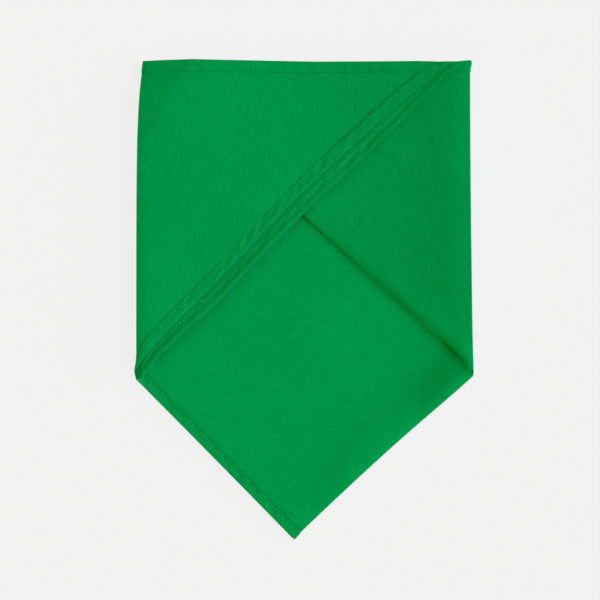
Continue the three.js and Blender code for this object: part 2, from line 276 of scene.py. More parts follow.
def fold_plan(sizes):
    """Sizes in millimetres, and all that follows from them."""
    plan = SimpleNamespace(**{name: getattr(sizes, name) / MM for name in NeckerchiefSizes.__annotations__})
    half = plan.cloth / 2
    plan.right_high = [(RIGHT_LEVEL[s] - MIDDLE_LEVEL[s]) * plan.pitch / 2 for s in (BACK, FRONT)]
    plan.left_high = [(LEFT_LEVEL[s] - MIDDLE_LEVEL[s]) * plan.pitch / 2 for s in (BACK, FRONT)]
    inner = 0.6  # rounding of the inner half's fold, as a share of the outer one's
    plan.right_wide = [plan.right_round, plan.right_round * inner]
    plan.left_wide = [plan.left_round, plan.left_round * inner]
    plan.right_x = plan.right_edge - plan.right_wide[BACK] - half
    plan.left_x = -plan.left_edge + plan.left_wide[BACK] + half
    run = [[math.pi * math.hypot(wide, high) / math.sqrt(2) for wide, high in zip(*pair)]
           for pair in ((plan.right_wide, plan.right_high), (plan.left_wide, plan.left_high))]
    plan.right_run, plan.left_run = run
    plan.turn_run = sum(plan.right_run) / 2
    plan.corner_x = 2 * plan.right_x + plan.right_run[FRONT] - (plan.leg - plan.front_reach)
    plan.corner_reach = 2 * plan.right_x + plan.turn_run - plan.corner_x
    back_corner = 2 * plan.right_x + plan.right_run[BACK] - plan.corner_x
    plan.reach = [plan.leg - back_corner, plan.front_reach]
    plan.lean = [math.atan2(plan.tip_depth, reach) for reach in plan.reach]
    plan.rise = [plan.hem / math.cos(lean) for lean in plan.lean]
    return plan


def left_flap_flat(plan, side, x):
    return 2 * plan.left_x - plan.left_run[side] - x


def flat_place(plan, side, part, at):
    """Distance from the tip line on the opened layer. On the right both layers share one distance."""
    share = np.where(part == LEFT_BEND, at / math.pi, 0.0)
    bend = plan.left_x - plan.left_run[side] * share
    left = np.where(part == LEFT_FLAP, left_flap_flat(plan, side, at), bend)
    turn = plan.right_x + plan.turn_run * np.where(part == RIGHT_BEND, at / math.pi, 0.0)
    right = np.where(part == RIGHT_FLAP, 2 * plan.right_x + plan.turn_run - at, turn)
    return np.where(part < MIDDLE, left, np.where(part > MIDDLE, right, at))


def long_side(plan, side, flat):
    """Outer edge of the long side on the opened layer."""
    share = -flat / plan.reach[side]
    line = -plan.tip_depth * (1 - share) + 4 * HEM_BOW * share * (1 - share)
    turned = smooth((plan.left_x - flat) / plan.left_run[side])
    return line + (flap_edge(side, left_flap_flat(plan, side, flat)) - line) * turned


def flap_edge(side, x):
    """Outer edge of the long side where it lies on the left flap, drawn as a curve through its table."""
    knots = np.array(FLAP_EDGES[side])
    near = [table_value(knots, x + step) for step in (-2, -1, 0, 1, 2)]
    return sum(near) / len(near)


def hem_share(plan, side, flat):
    """Seen share of the long hem's width."""
    x = np.where(flat < plan.left_x - plan.left_run[side], left_flap_flat(plan, side, flat), 0.0)
    lower = past_left_fold(plan, flat) * fade(flat, -3, -12)
    return np.where(side == BACK, table_value(HEM_NARROW, x), 1 - LOWER_NARROW * lower)


def centre_outline(plan, flat):
    """Outermost line of the centre fold, on which the back half turns into the front half."""
    share = flat / plan.corner_reach
    wander = table_value(FLAP_WANDER, 2 * plan.right_x + plan.turn_run - flat)
    wander = wander * fade(flat, plan.right_x, 5) * fade(flat, plan.corner_reach, -20)
    # 6.75 makes the bow its own size where it is greatest
    return -plan.tip_depth * (1 - share) - CENTRE_BOW * 6.75 * share ** 2 * (1 - share) + wander


def centre_width(plan, flat):
    """How far the centre fold rolls over, less so at the pressed tip and at the corner."""
    opened = fade(flat, 1, 30) * fade(flat, plan.corner_reach, -60)
    width = plan.centre_round * (PRESSED_ROUND + (1 - PRESSED_ROUND) * opened)
    return width * (1 - FLAP_ROUND_LOST * fade(flat, plan.right_x, 8))


def centre_fold(plan, flat):
    return centre_outline(plan, flat) + centre_width(plan, flat)


def right_flap_line(plan, x):
    """Open edge of the right flap, where the centre fold comes to lie on it."""
    return centre_outline(plan, 2 * plan.right_x + plan.turn_run - x)


def right_flap_start(plan, y):
    """Place across the packet at which the open edge of the right flap lies, for each y."""
    x = np.linspace(plan.corner_x, plan.right_x + 2, 200)
    line = right_flap_line(plan, x)
    return np.interp(-y, -line, x)


def lift(plan, level, x, y):
    """Height that ridges, falls and the lie of the flaps add to one layer."""
    total = np.zeros(np.broadcast(x, y).shape)
    on_flap = square_to_edge(right_flap_line(plan, x), y)
    if level >= MIDDLE_LEVEL[FRONT]:
        # the rounded centre fold stands up along the lower right edge
        inside = square_to_edge(centre_outline(plan, np.clip(x, 0, plan.right_x)), y)
        lost = RIDGE_LOST * fade(np.maximum(on_flap, 0), *RIDGE_FLAP) * fade(x, *RIDGE_CORNER)
        reach = table_value(CENTRE_REACH, x) if level == MIDDLE_LEVEL[FRONT] else 1.0
        total += table_value(CENTRE_STRENGTH, x) * (1 - lost) * relief(CENTRE_RIDGE, inside / reach)
    if level >= RIGHT_LEVEL[FRONT]:
        # from the open edge of the right flap everything climbs to the right fold
        layer = 1.0 if level > RIGHT_LEVEL[FRONT] else RIGHT_CLIMB_LOW
        start = right_flap_start(plan, y)
        kept = 1 - RIGHT_CLIMB_LOST * fade(y, *RIGHT_CLIMB_END)
        total += layer * kept * np.maximum(climb(RIGHT_CLIMB, x) - climb(RIGHT_CLIMB, start), 0.0)
    share = table_value(FLAP_SHARE, x)
    if level == MIDDLE_LEVEL[FRONT]:
        total -= table_value(CENTRE_FALL, x) * np.exp(-np.maximum(inside, 0) / CENTRE_FALL_WIDE)
        # the lower square swells a little against the open edge of the right flap
        outside = table_value(FLAP_SWELL, -on_flap / (0.5 + 0.5 * share))
        swell = np.where(on_flap < 0, outside, FLAP_SWELL[0][1] * bell(on_flap, FLAP_SWELL_UNDER))
        total += share * swell * fade(x, *FLAP_SWELL_START)
        total += table_value(FLAP_RAISE, x) * np.clip(1 + on_flap / FLAP_RAISE_REACH, 0, 1)
    if level == RIGHT_LEVEL[BACK]:
        total += share * table_value(FLAP_ROUND, on_flap)
    if level == RIGHT_LEVEL[FRONT]:
        total += FLAP_LOWER_RAISE
    if level >= LEFT_LEVEL[FRONT]:
        # beside the right flap the left flap sinks towards the layers below it
        total -= plan.pitch * fade(-on_flap, *LEFT_FLAP_SINK)
    # each layer is pressed down at the foot of the edge that lies on it
    for edge, foot, lies_on in ((FRONT_EDGE, FRONT_FOOT, (MIDDLE_LEVEL[FRONT], RIGHT_LEVEL[BACK])),
                                (BACK_EDGE, BACK_FOOT, (LEFT_LEVEL[FRONT],))):
        if level in lies_on:
            strength = foot[0] + sum(change * fade(x, *at) for change, *at in foot[1])
            total += strength * relief(EDGE_FOOT, -square_to_edge(table_value(edge, x), y))
    if level == LEFT_LEVEL[FRONT]:
        total += fade(x, *BAND_START) * relief(BAND_FALL, -square_to_edge(table_value(BACK_EDGE, x), y))
        over = np.maximum(HEM_END_X - x, 0) * fade(y, *HEM_END_FADE)
        total -= math.tan(math.radians(HEM_END_SLOPE)) * over
    # the left fold falls to its edge, and most at the top left corner
    pressed = LEFT_PRESSED * bell(y - LEFT_PRESSED_AT, LEFT_PRESSED_HALF)
    fall = relief(LEFT_CLIMB, x + plan.left_edge) * (1 - pressed)
    corner = CORNER_TOWARDS[0] * (x - CORNER_START[0]) + CORNER_TOWARDS[1] * (y - CORNER_START[1])
    ramp = (np.sqrt(corner ** 2 + CORNER_ROUND ** 2) + corner) / 2
    total += level / LEFT_LEVEL[BACK] * (fall - math.tan(math.radians(CORNER_SLOPE)) * ramp)
    return total


def shift_plan(plan, x, y):
    """Small bends of the packet's outline."""
    depth = np.clip(y / centre_outline(plan, plan.right_x), 0, 1)
    from_left = np.maximum(x - plan.left_x, 0)
    from_right = np.maximum(plan.right_x - x, 0)
    below_top = np.minimum(y, 0)
    across = TOP_LEFT_BEND * np.exp(below_top / TOP_LEFT_DEEP) * bell(from_left, SIDE_DEEP)
    across = across + LOWER_RIGHT_BEND * depth ** 2 * bell(from_right, SIDE_DEEP)
    across = across - HEM_END_OUT * bell(y - HEM_END_Y, HEM_END_HALF) * np.exp(-from_left / HEM_END_DEEP)
    along = table_value(TOP_WAVE, x) * np.exp(below_top / TOP_WAVE_DEEP)
    return across, along


def frame_at(plan, side, part, at, y):
    """Middle of the cloth and the direction towards the other half, for columns of points."""
    part = part[:, None]
    at = at[:, None] + 0 * y
    bend = (part == LEFT_BEND) | (part == RIGHT_BEND)
    right = part > MIDDLE
    angle = np.where(bend, at, 0.0)
    wide = np.where(right, plan.right_wide[side], plan.left_wide[side])
    high = np.where(right, plan.right_high[side], plan.left_high[side])
    outward = np.where(right, 1.0, -1.0)
    axis = np.where(right, plan.right_x, plan.left_x)
    x = np.where(bend, axis + outward * wide * np.sin(angle), at)
    turned = np.where(bend, (1 - np.cos(angle)) / 2, np.where(part == MIDDLE, 0.0, 1.0))
    low, upper_right, upper_left = [plan.first + levels[side] * plan.pitch + lift(plan, levels[side], x, y)
                                    for levels in (MIDDLE_LEVEL, RIGHT_LEVEL, LEFT_LEVEL)]
    upper = np.where(right, upper_right, upper_left)
    z = low + (upper - low) * turned
    half = np.where(bend, (upper - low) / 2, high)
    direction_x = np.where(bend, -outward * np.sin(angle) * half, 0.0)
    direction_z = np.where(bend, np.cos(angle) * wide, np.where(part == MIDDLE, 1.0, -1.0))
    size = np.hypot(direction_x, direction_z)
    place = np.stack([x, y + 0 * x, z], axis=-1)
    normal = np.stack([direction_x / size, 0 * x, direction_z / size], axis=-1)
    return place, normal


def grain_at(plan, side, flat, y):
    """Place on the opened cloth in mm: across the threads that show as streaks, and along them."""
    from_corner = flat - plan.corner_reach
    pair = [from_corner + 0 * y, y + 0 * from_corner]
    return np.stack(pair if side == BACK else pair[::-1], axis=-1)


def columns_between(plan, stops, left_ends, right_end, size, turns):
    """Part and place of each column for both halves, from the pointed ends to the corner."""
    angles = np.arange(1, turns) * math.pi / turns
    near, far = CLOSE_COLUMNS
    left, right = plan.left_x, plan.right_x
    parts, back, front = [], [], []

    def extend(part, values, other=None):
        parts.extend([part] * len(values))
        back.extend(values)
        front.extend(values if other is None else other)

    def even(start, stop):
        return np.linspace(start, stop, max(int(round(abs(stop - start) / size)), 1) + 1)

    count = len(even(left, left_ends[BACK]))
    ends = [np.concatenate([np.linspace(end, left, count)[:-1], [left + far, left + near, left]])
            for end in left_ends]
    extend(LEFT_FLAP, ends[BACK], ends[FRONT])
    extend(LEFT_BEND, angles[::-1])
    marks = [left, *stops, right if right_end[0] == RIGHT_FLAP else right_end[1]]
    for start, stop in zip(marks, marks[1:]):
        values = even(start, stop)[1:]
        if start == left:
            values = np.concatenate([[left, left + near, left + far], values])
        if stop == right:
            values = np.concatenate([values[:-1], [right - far, right - near, right]])
        extend(MIDDLE, values)
    if right_end[0] == RIGHT_FLAP:
        extend(RIGHT_BEND, angles)
        values = even(right, right_end[1])[1:]
        extend(RIGHT_FLAP, np.concatenate([[right, right - near, right - far], values]))
    return np.array(parts), [np.array(back, float), np.array(front, float)]


def meet(start, stop, height_at, height):
    """Place between two columns at which a rising line reaches a height."""
    near, far = start, stop
    for _ in range(50):
        mid = (near + far) / 2
        if height_at(mid) < height:
            near = mid
        else:
            far = mid
    return near


def beside_hem(plan, side, flat, above):
    """Line at a distance above the outer edge of the long side."""
    return long_side(plan, side, flat) + above * hem_share(plan, side, flat)


def pointed_end(plan, side, height, above=0.0):
    """Place on the left flap at which a line beside the long hem reaches a height near the top edge."""
    return meet(plan.left_x, 2 * plan.right_edge, lambda x: float(
        beside_hem(plan, side, np.float64(left_flap_flat(plan, side, x)), above)), height)


def tip_meeting(plan, inset):
    """Where a line beside the long side meets the centre fold, just above the tip."""
    def gap(x):
        return float(centre_fold(plan, np.float64(x)) - long_side(plan, FRONT, np.float64(x)))
    return meet(0.0, 60.0, gap, inset)


def corner_end(plan, height):
    """Last column of the right flap, where the centre fold reaches a height near the top edge."""
    reach = 2 * plan.right_x + plan.turn_run
    return RIGHT_FLAP, meet(plan.right_x, plan.corner_x - 40,
                            lambda x: float(centre_fold(plan, np.float64(reach - x))), height)


def rows_between(upper, lower, spacing, beside=None):
    """Rows of each column: shares of its length, or else steps in mm kept at both of its ends. More rows
    follow a line across the columns where one is given."""
    size = (upper - lower)[:, None]
    if not isinstance(spacing, dict):
        return upper[:, None] - size * spacing[None, :]
    near = np.array(spacing["near"])[None, :] * np.clip(size / (5 * spacing["near"][-1]), 0.02, 1)
    first, inner = near[:, -1:], size - 2 * near[:, -1:]
    middle = first + inner * np.linspace(0, 1, spacing["middle"] + 2)[None, 1:-1]
    if beside is not None:
        more = (upper - beside)[:, None] + np.array(spacing["beside"])[None, :]
        middle = np.sort(np.concatenate([middle, np.clip(more, first, size - first)], axis=1), axis=1)
        # a small share of even steps keeps the rows apart where they come together
        even = first + inner * np.linspace(0, 1, middle.shape[1] + 2)[None, 1:-1]
        middle += 0.02 * (even - middle)
    return upper[:, None] - np.concatenate([near, middle, (size - near)[:, ::-1]], axis=1)


def layer_sheet(plan, sides, parts, ats, limits, shares, rolled_from=None):
    """Points of a piece as one grid: columns by rows, first half, round the centre fold, other half."""
    places, normals, grains, marks = [], [], [], []
    for side in sides:
        flat = flat_place(plan, side, parts, ats[side])
        upper, lower = limits(side, flat)
        beside = None
        if side == FRONT and isinstance(shares, dict):
            beside = right_flap_line(plan, np.clip(flat, plan.left_x, plan.right_x))
        y = rows_between(upper, lower, shares, beside)
        place, normal = frame_at(plan, side, parts, ats[side], y)
        places.append(place)
        normals.append(normal if side == BACK else -normal)
        grains.append(grain_at(plan, side, flat[:, None], y))
        marks.append(np.stack([flat[:, None] + 0 * y, y, np.full_like(y, side)], axis=-1))
    rows = places[0].shape[1]
    if len(sides) == 1:
        cells = np.ones((len(parts) - 1, rows - 1), bool)
        return places[0], normals[0], grains[0], marks[0], cells
    flat = flat_place(plan, BACK, parts, ats[BACK])
    start, end = places[BACK][:, -1], places[FRONT][:, -1]
    centre, half = (start + end) / 2, (end - start) / 2
    size = np.linalg.norm(half, axis=-1, keepdims=True)
    toward = half / np.maximum(size, 1e-9)
    width = centre_width(plan, flat)[:, None]
    rings = [[], [], [], []]
    for k in range(1, CENTRE_TURNS):
        share = k / CENTRE_TURNS
        angle = share * math.pi
        place = centre - half * math.cos(angle)
        place[:, 1] -= width[:, 0] * math.sin(angle)
        normal = toward * math.cos(angle) * width
        normal[:, 1] += size[:, 0] * math.sin(angle)
        normal /= np.linalg.norm(normal, axis=-1, keepdims=True)
        rings[0].append(place)
        rings[1].append(normal)
        for ring, pair in zip(rings[2:], (grains, marks)):
            ring.append(pair[BACK][:, -1] * (1 - share) + pair[FRONT][:, -1] * share)
    woven = [np.concatenate([pair[BACK], np.stack(ring, axis=1), pair[FRONT][:, ::-1]], axis=1)
             for pair, ring in zip((places, normals, grains, marks), rings)]
    cells = np.ones((len(parts) - 1, woven[0].shape[1] - 1), bool)
    cells[flat[:-1] < rolled_from - 1e-6, rows - 1:rows - 1 + CENTRE_TURNS] = False
    return (*woven, cells)


def wall_mesh(name, plan, place, normal, grain, cells, above, below):
    """Closed mesh of a sheet: above and below are how far its faces lie from the given points."""
    columns, rows = place.shape[:2]
    top = place + normal * above[..., None]
    bottom = place - normal * below[..., None]
    points = np.concatenate([top.reshape(-1, 3), bottom.reshape(-1, 3)])
    grains = np.concatenate([grain.reshape(-1, 2)] * 2)
    under = columns * rows
    number = np.arange(under).reshape(columns, rows)
    p, q, s, t = number[:-1, :-1], number[1:, :-1], number[1:, 1:], number[:-1, 1:]
    padded = np.zeros((cells.shape[0] + 2, cells.shape[1] + 2), bool)
    padded[1:-1, 1:-1] = cells
    quads = [np.stack([p, t, s, q], -1)[cells],
             np.stack([p + under, q + under, s + under, t + under], -1)[cells]]
    sides = (
        (padded[:-2, 1:-1], (p, p + under, t + under, t)),
        (padded[2:, 1:-1], (q, s, s + under, q + under)),
        (padded[1:-1, :-2], (p, q, q + under, p + under)),
        (padded[1:-1, 2:], (t, t + under, s + under, s)),
    )
    for neighbour, corners in sides:
        quads.append(np.stack(corners, -1)[cells & ~neighbour])
    used, faces = np.unique(np.concatenate(quads), return_inverse=True)
    return make_mesh(name, plan, points[used], faces.reshape(-1, 4), grains[used])


def make_mesh(name, plan, points, faces, grains):
    """Smooth mesh object from points in the packet's plan in mm, with the grain as its UV map."""
    across, along = shift_plan(plan, points[:, 0], points[:, 1])
    points = points + np.stack([across, along, 0 * across], axis=-1)
    mesh = bpy.data.meshes.new(name)
    shifted = (points + np.array([TIP_TO_ORIGIN[0], TIP_TO_ORIGIN[1], 0.0])) * MM
    corners = faces.shape[1]
    mesh.vertices.add(len(shifted))
    mesh.vertices.foreach_set("co", shifted.astype(np.float32).ravel())
    mesh.loops.add(faces.size)
    mesh.loops.foreach_set("vertex_index", faces.astype(np.int32).ravel())
    mesh.polygons.add(len(faces))
    mesh.polygons.foreach_set("loop_start", np.arange(len(faces), dtype=np.int32) * corners)
    layer = mesh.uv_layers.new(name="grain")
    layer.data.foreach_set("uv", grains[faces.ravel()].astype(np.float32).ravel())
    mesh.update(calc_edges=True)
    mesh.validate()
    mesh.shade_smooth()
    piece = bpy.data.objects.new(name, mesh)
    bpy.context.scene.collection.objects.link(piece)
    return piece


# Materials

def add_node(tree, kind, settings=None, links=None):
    """One shader node with its settings, and its inputs linked or set."""
    node = tree.nodes.new(kind)
    for name, value in (settings or {}).items():
        setattr(node, name, value)
    for socket, value in (links or {}).items():
        if isinstance(value, bpy.types.NodeSocket):
            tree.links.new(value, node.inputs[socket])
        else:
            node.inputs[socket].default_value = value
    return node


def grained_material(name, dress_up):
    """Material whose pattern follows the grain map, made once and then used again."""
    if name in bpy.data.materials:
        return bpy.data.materials[name]
    material = bpy.data.materials.new(name)
    material.use_nodes = True
    tree = material.node_tree
    tree.nodes.clear()
    grain = add_node(tree, "ShaderNodeUVMap", {"uv_map": "grain"})
    surface = dress_up(tree, grain.outputs["UV"])
    output = add_node(tree, "ShaderNodeOutputMaterial")
    tree.links.new(surface.outputs["BSDF"], output.inputs["Surface"])
    return material


def poplin(plan, colours):
    """Plain-weave polycotton poplin, piece-dyed. To the eye: matt and even, with fine slubs that show
    as short streaks along one set of threads, and a very faint crosswise set."""
    def dress_up(tree, grain):
        def threads(across, along, detail, seed):
            # a streak is across mm wide and along mm long; the seed only picks another stretch of the yarn
            scaled = add_node(tree, "ShaderNodeMapping", None, {
                "Vector": grain, "Scale": (1 / across, 1 / along, 1), "Location": (seed, seed, seed)})
            noise = add_node(tree, "ShaderNodeTexNoise", {"noise_dimensions": "3D"}, {
                "Vector": scaled.outputs["Vector"], "Scale": 1.0, "Detail": detail, "Roughness": 0.6})
            return noise.outputs["Fac"]

        def mixed(first, second, share):
            node = add_node(tree, "ShaderNodeMix", {"data_type": "FLOAT"}, {
                "Factor": share, "A": first, "B": second})
            return node.outputs["Result"]

        slubs = threads(0.9, 12.0, 3.0, 3.1)
        cross = threads(4.0, 0.9, 1.0, 7.7)
        cloud = threads(34.0, 46.0, 2.0, 1.3)
        # the real threads are finer than the picture shows; they are drawn as two crossing sets of short
        # yarn pieces, so that they read as cloth from near by
        warp = threads(plan.thread_pitch, 3.2, 1.0, 5.5)
        weft = threads(3.2, plan.thread_pitch, 1.0, 9.2)
        streak = mixed(mixed(slubs, cross, 0.3), cloud, 0.2)
        tone = add_node(tree, "ShaderNodeMapRange", None, {
            "Value": streak, "From Min": 0.34, "From Max": 0.66, "To Min": 0.0, "To Max": 1.0})
        green, blue = colours.cloth[1:]
        base = add_node(tree, "ShaderNodeMix", {"data_type": "RGBA"}, {
            "Factor": tone.outputs["Result"],
            6: (0.0, green * 0.9, blue * 0.82, 1), 7: (0.0, green * 1.1, blue * 1.18, 1)})
        yarns = mixed(mixed(warp, weft, 0.5), mixed(slubs, cross, 0.35), 0.45)
        bump = add_node(tree, "ShaderNodeBump", None, {
            "Strength": 0.5, "Distance": 0.00012, "Height": yarns})
        return add_node(tree, "ShaderNodeBsdfPrincipled", None, {
            "Base Color": base.outputs[2], "Roughness": 0.86, "IOR": 1.45, "Specular IOR Level": 0.01,
            "Normal": bump.outputs["Normal"]})

    return grained_material("plain-weave polycotton poplin", dress_up)


def spun_thread(colours):
    """Spun polyester sewing thread in the colour of the cloth. To the eye: a little darker and
    smoother than the cloth, with a fine twist."""
    def dress_up(tree, grain):
        twist = add_node(tree, "ShaderNodeTexWave", {"bands_direction": "DIAGONAL"}, {
            "Vector": grain, "Scale": 0.6, "Distortion": 1.5})
        bump = add_node(tree, "ShaderNodeBump", None, {
            "Strength": 0.4, "Distance": 0.00005, "Height": twist.outputs["Fac"]})
        return add_node(tree, "ShaderNodeBsdfPrincipled", None, {
            "Base Color": (*colours.thread, 1), "Roughness": 0.6, "Specular IOR Level": 0.3,
            "Normal": bump.outputs["Normal"]})

    return grained_material("spun polyester sewing thread", dress_up)


def dress(piece, material, nodes):
    piece.data.materials.append(material)
    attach(piece, "root")
    if nodes:
        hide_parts(*nodes)


# Pieces

class NECKERCHIEF_OT_cloth(Operator):
    """Fold the cloth into its packet of six layers"""
    bl_idname = "neckerchief.cloth"
    bl_label = "Cloth"

    def execute(self, context):
        scene = context.scene
        plan = fold_plan(scene.neckerchief_sizes)
        top = -plan.hem + TUCK
        inset = [(plan.hem - TUCK) / math.cos(lean) for lean in plan.lean]
        corner = tip_meeting(plan, inset[FRONT])
        ends = [pointed_end(plan, s, top - 0.4, inset[s]) for s in (BACK, FRONT)]
        parts, ats = columns_between(plan, [corner], ends, corner_end(plan, top - 0.6),
                                     CLOTH_COLUMN, CLOTH_TURNS)

        def limits(side, flat):
            beside = beside_hem(plan, side, flat, inset[side])
            return np.full_like(flat, top), np.where(flat < corner - 1e-6, beside, centre_fold(plan, flat))

        place, normal, grain, marks, cells = layer_sheet(
            plan, (BACK, FRONT), parts, ats, limits, CLOTH_ROWS, corner)
        flat, y = marks[..., 0], marks[..., 1]
        # beside its hems the cloth is drawn in by the stitches
        across = long_hem_across(plan, marks)
        lower_square = (marks[..., 2] > 0.5) & (flat > plan.left_x)
        drawn = np.where(lower_square, DRAWN_LOWER, DRAWN)
        drawn = drawn * np.exp(-np.maximum(across - plan.hem, 0) / DRAWN_WIDE)
        drawn = np.maximum(drawn, DRAWN_LEG * np.exp(-np.maximum(-y - plan.hem, 0) / DRAWN_LEG_WIDE))
        half = np.full(place.shape[:2], plan.cloth / 2)
        # inside the hem of the lower square it goes down with the hem
        tucked = TUCK_DOWN * lower_square * fade(across, plan.hem + 0.1, -0.5) * past_left_fold(plan, flat)
        piece = wall_mesh("cloth_panel", plan, place, normal, grain, cells,
                          half + tucked, half - drawn - tucked)
        dress(piece, poplin(plan, scene.neckerchief_colours), ["cloth"])
        return {"FINISHED"}


def puckers(rows, x, across, recovery):
    """Creases where the sewing has drawn a hem together. Each row of the table has its place along
    the packet, its distance from the hem's outer edge, its length, its depth, all in mm."""
    total = np.zeros_like(across)
    lean = math.radians(PUCKER_TURN)
    for at, inset, long, deep in rows:
        along = (x - at) * math.sqrt(2)
        aside = across - inset
        u = along * math.cos(lean) + aside * math.sin(lean)
        v = aside * math.cos(lean) - along * math.sin(lean)
        dip = fade(v, *PUCKER_FALL) * (1 - fade(v, sum(PUCKER_FALL), recovery))
        total += deep * dip * bell(u, long / 2)
    return total


def sewn_rows(seed, first, last, step, inset, long, deep):
    """Table of puckers at uneven steps along a hem."""
    random = np.random.default_rng(seed)
    rows, at = [], first
    while at < last:
        rows.append((at, inset + random.uniform(-0.5, 0.5), long * random.uniform(0.7, 1.2),
                     deep * random.uniform(0.45, 1.1)))
        at += step * random.uniform(0.7, 1.3)
    return rows


BACK_PUCKERS = (sewn_rows(3, -86, -50, 11, 3.4, 9, 0.17) + [(-46, 3.4, 9, 0.25), (-33.3, 3.6, 10, 0.33),
                (-23.2, 3.5, 10, 0.33), (-14.4, 3.4, 9, 0.30)] + sewn_rows(5, -4, 28, 10, 3.4, 9, 0.22)
                + sewn_rows(6, 36, 112, 13, 4.2, 9, 0.06))
FRONT_PUCKERS = (sewn_rows(8, -90, 30, 16, 3.2, 12, 0.07) + [(39.6, 3.2, 16, 0.24), (55.4, 3.0, 17, 0.34),
                 (74, 3.4, 12, 0.2), (99, 3.8, 14, 0.1)])
FLAT_PUCKERS = sewn_rows(9, -110, 5, 9, 3.6, 8, 0.05)


def hem_bend(plan, marks, x, across):
    """Unevenness of the long hem: how far it bends towards its plain face, and how far its strip steps."""
    side, flat = marks[..., 2], marks[..., 0]
    on_flap = flat < plan.left_x - 2
    back = puckers(BACK_PUCKERS, x, across, 8.0)
    front = -puckers(FRONT_PUCKERS, x, across, 9.0)
    bottom = puckers(FLAT_PUCKERS, x, across, 4.8)
    bend = np.where(on_flap, np.where(side < 0.5, back, front), bottom)
    wave = 0.05 * np.sin(flat * 0.61 + 1.3 * np.sin(flat * 0.13)) + 0.04 * np.sin(flat * 0.27 + 2)
    # on the lower square the hem lies a little lower, level with the cloth beside it
    sunk = LOWER_SUNK + LOWER_TILT * np.clip(1 - across / plan.hem, 0, 1)
    sunk = sunk * smooth(side) * past_left_fold(plan, flat)
    step_down = np.where(on_flap & (side < 0.5), table_value(HEM_STEP, x), 0.0)
    return bend + wave * fade(across, 0, HEM_WAVE_START) + sunk, step_down


def leg_wave(flat):
    """Unevenness of the leg hems."""
    return 0.04 * np.sin(flat * 0.5 + 2 * np.sin(flat * 0.11))


def hem_faces(plan, across, bend, step_down, taper):
    """How far both faces of a hem lie from the middle of the cloth, at a distance from its outer edge.
    The first face is the plain one, the second the one with the turned strip."""
    half = (plan.cloth + plan.turn) / 2
    rounded = np.sqrt(np.clip(1 - (1 - np.clip(across / HEM_ROUND, 0, 1)) ** 2, 0.0025, 1))
    plain = half * rounded - plan.turn / 2
    turned = half * rounded + plan.turn / 2
    turned = turned - step_down * fade(across, *HEM_STEP_FADE) - taper * fade(across, *TAPER_FADE)
    # the edge of the turned strip rolls down to the cloth
    inner = np.clip((plan.hem - across) / INNER_ROUND, 0, 1)
    step = np.sqrt(np.clip(1 - (1 - inner) ** 2, 0, 1))
    turned = turned + (HEM_LAST - turned) * (1 - step)
    full = HEM_FULL * bell(across - HEM_FULL_AT, HEM_FULL_WIDE)
    bulge = HEM_BULGE * fade(across, *HEM_BULGE_FADE) * smooth(1 - bend / HEM_BULGE_BEND)
    return plain + bulge + bend, turned + full - bend


def long_hem_across(plan, marks):
    """Distance from the outer edge of the long hem."""
    flat, y, side = marks[..., 0], marks[..., 1], marks[..., 2]
    lean = plan.lean[BACK] * (1 - side) + plan.lean[FRONT] * side
    edge = long_side(plan, BACK, flat) * (1 - side) + long_side(plan, FRONT, flat) * side
    share = np.where(side < 0.5, hem_share(plan, BACK, flat), hem_share(plan, FRONT, flat))
    return (y - edge) * np.cos(lean) / share


class NECKERCHIEF_OT_long_hem(Operator):
    """Turn the hem of the long side and fold it with the cloth"""
    bl_idname = "neckerchief.long_hem"
    bl_label = "Long hem"

    def execute(self, context):
        scene = context.scene
        plan = fold_plan(scene.neckerchief_sizes)
        ends = [pointed_end(plan, side, -0.3) for side in (BACK, FRONT)]
        corner = tip_meeting(plan, plan.rise[FRONT]) - 0.2
        parts, ats = columns_between(plan, [0.0], ends, (MIDDLE, corner), LONG_COLUMN, LONG_TURNS)

        def limits(side, flat):
            edge = long_side(plan, side, flat)
            upper = np.minimum(0, beside_hem(plan, side, flat, plan.rise[side]))
            return upper, np.where(flat < 0, edge, centre_fold(plan, flat))

        shares = 1 - np.array(HEM_ROWS) / HEM_ROWS[0]
        place, normal, grain, marks, cells = layer_sheet(plan, (BACK, FRONT), parts, ats, limits, shares, 0.0)
        flat, y = marks[..., 0], marks[..., 1]
        across = long_hem_across(plan, marks)
        bend, step_down = hem_bend(plan, marks, place[..., 0], across)
        plain, turned = hem_faces(plan, across, bend, step_down, LONG_TAPER * (1 - marks[..., 2]))
        # the thick end of the hem stands out a little at the tip
        end = np.exp(-((flat - corner / 2) / (corner / 2)) ** 4) * smooth(plan.hem - across) * (flat > 0.5)
        place[..., 1] -= TIP_STAND * end * fade(centre_fold(plan, flat) - y, -2, 2)
        piece = wall_mesh("long_hem", plan, place, normal, grain[..., ::-1], cells, plain, turned)
        dress(piece, poplin(plan, scene.neckerchief_colours), ["hem_long"])
        return {"FINISHED"}


